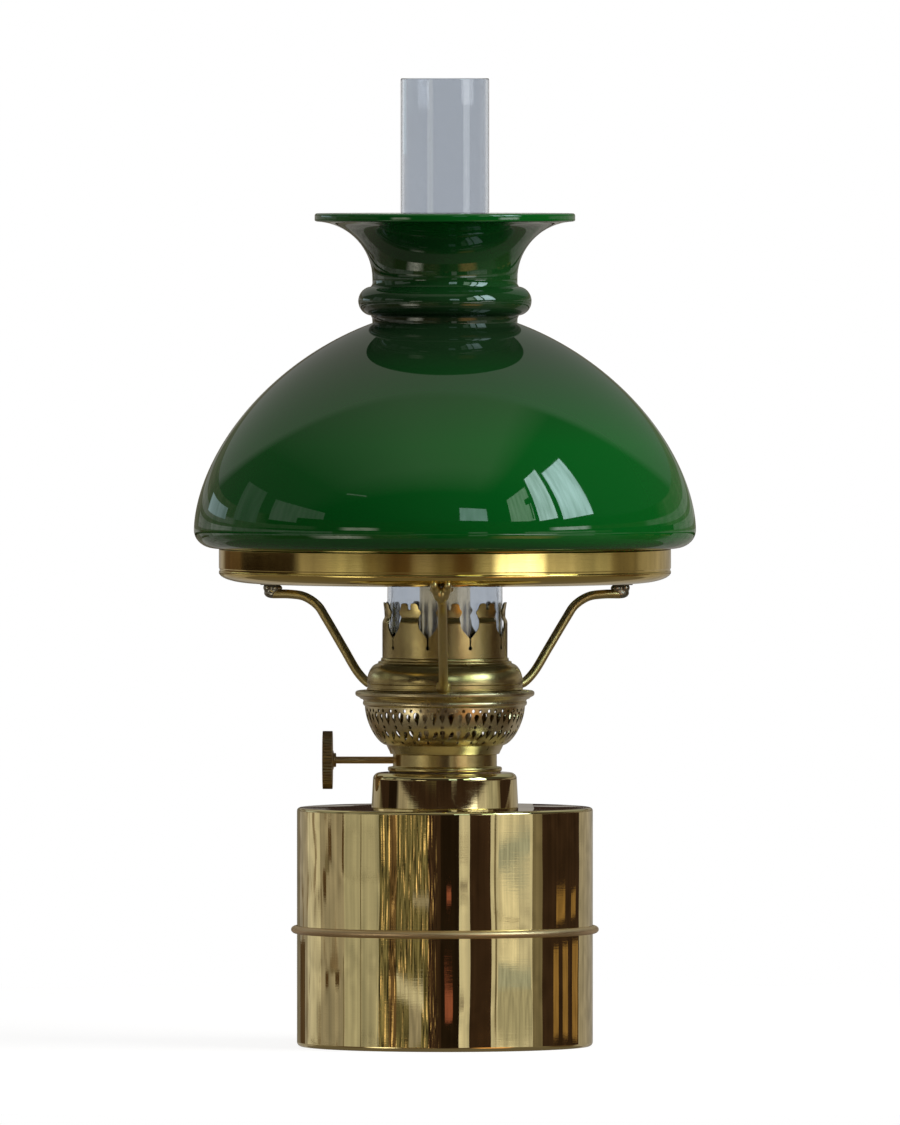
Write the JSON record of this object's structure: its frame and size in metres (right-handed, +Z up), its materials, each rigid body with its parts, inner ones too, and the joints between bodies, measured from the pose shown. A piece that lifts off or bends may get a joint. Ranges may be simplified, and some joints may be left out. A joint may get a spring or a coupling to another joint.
{
  "type": "kerosene table lamp",
  "caption": "Brass kerosene table lamp with a straight round tank, a winder for its round wick, a pronged gallery, arms to a shade ring, a green glass shade and a glass chimney.",
  "frame": {"origin": "centre of the tank's foot, on the surface that the lamp stands on", "axes": "+Z up the chimney, -X towards the winder's knob, -Y towards the front, where one arm of the shade holder is"},
  "size_m": [0.227, 0.227, 0.4375],
  "materials": {
    "polished_brass": "polished, lacquered",
    "satin_brass": "satin",
    "aged_brass": "aged, dull",
    "dark_brass": "dark, milled edge",
    "washer_rubber": "matte",
    "wick_cotton": "woven",
    "green_glass": "opaque cased, glossy",
    "clear_glass": "clear, glossy"
  },
  "bodies": {
    "tank": {"tank_lower_shell": "polished_brass", "tank_upper_shell": "polished_brass", "tank_bead": "polished_brass", "tank_collar": "polished_brass", "collar_thread_ring": "aged_brass"},
    "washer": {"burner_washer": "washer_rubber"},
    "burner": {"burner_base": "aged_brass", "air_basket": "aged_brass", "wick_tube_outer": "satin_brass", "wick_tube_inner": "satin_brass", "winder_bush": "aged_brass", "winder_end_bush": "aged_brass"},
    "winder": {"winder_shaft": "aged_brass", "winder_knob": "dark_brass", "toothed_wheel_left": "aged_brass", "toothed_wheel_middle": "aged_brass", "toothed_wheel_right": "aged_brass"},
    "wick": {"wick": "wick_cotton"},
    "gallery": {"gallery_dome": "aged_brass", "chimney_crown": "aged_brass", "holder_arm_front": "aged_brass", "holder_arm_right": "aged_brass", "holder_arm_left": "aged_brass", "arm_pad_front": "aged_brass", "arm_pad_right": "aged_brass", "arm_pad_left": "aged_brass", "shade_ring": "satin_brass"},
    "chimney": {"glass_chimney": "clear_glass"},
    "shade": {"glass_shade": "green_glass"}
  },
  "joints": [
    {"name": "burner_lift", "type": "slide", "parent": "tank", "child": "washer", "axis": [0, 0, 1], "range_m": [0, 0.14]},
    {"name": "burner_turn", "type": "hinge", "parent": "washer", "child": "burner", "pos_m": [0, 0, 0.124], "axis": [0, 0, 1], "range_deg": [0, 720]},
    {"name": "winder_spin", "type": "hinge", "parent": "burner", "child": "winder", "pos_m": [0, 0.0155, 0.1289], "axis": [-1, 0, 0], "range_deg": [-143, 95]},
    {"name": "wick_travel", "type": "slide", "parent": "burner", "child": "wick", "axis": [0, 0, 1], "range_m": [-0.012, 0.008]},
    {"name": "gallery_lift", "type": "slide", "parent": "burner", "child": "gallery", "axis": [0, 0, 1], "range_m": [0, 0.07]},
    {"name": "chimney_lift", "type": "slide", "parent": "gallery", "child": "chimney", "axis": [0, 0, 1], "range_m": [0, 0.21]},
    {"name": "shade_lift", "type": "slide", "parent": "gallery", "child": "shade", "axis": [0, 0, 1], "range_m": [0, 0.24]}
  ],
  "couplings": [
    {"joint": "wick_travel", "follows": "winder_spin", "m_per_rad": 0.0048}
  ]
}
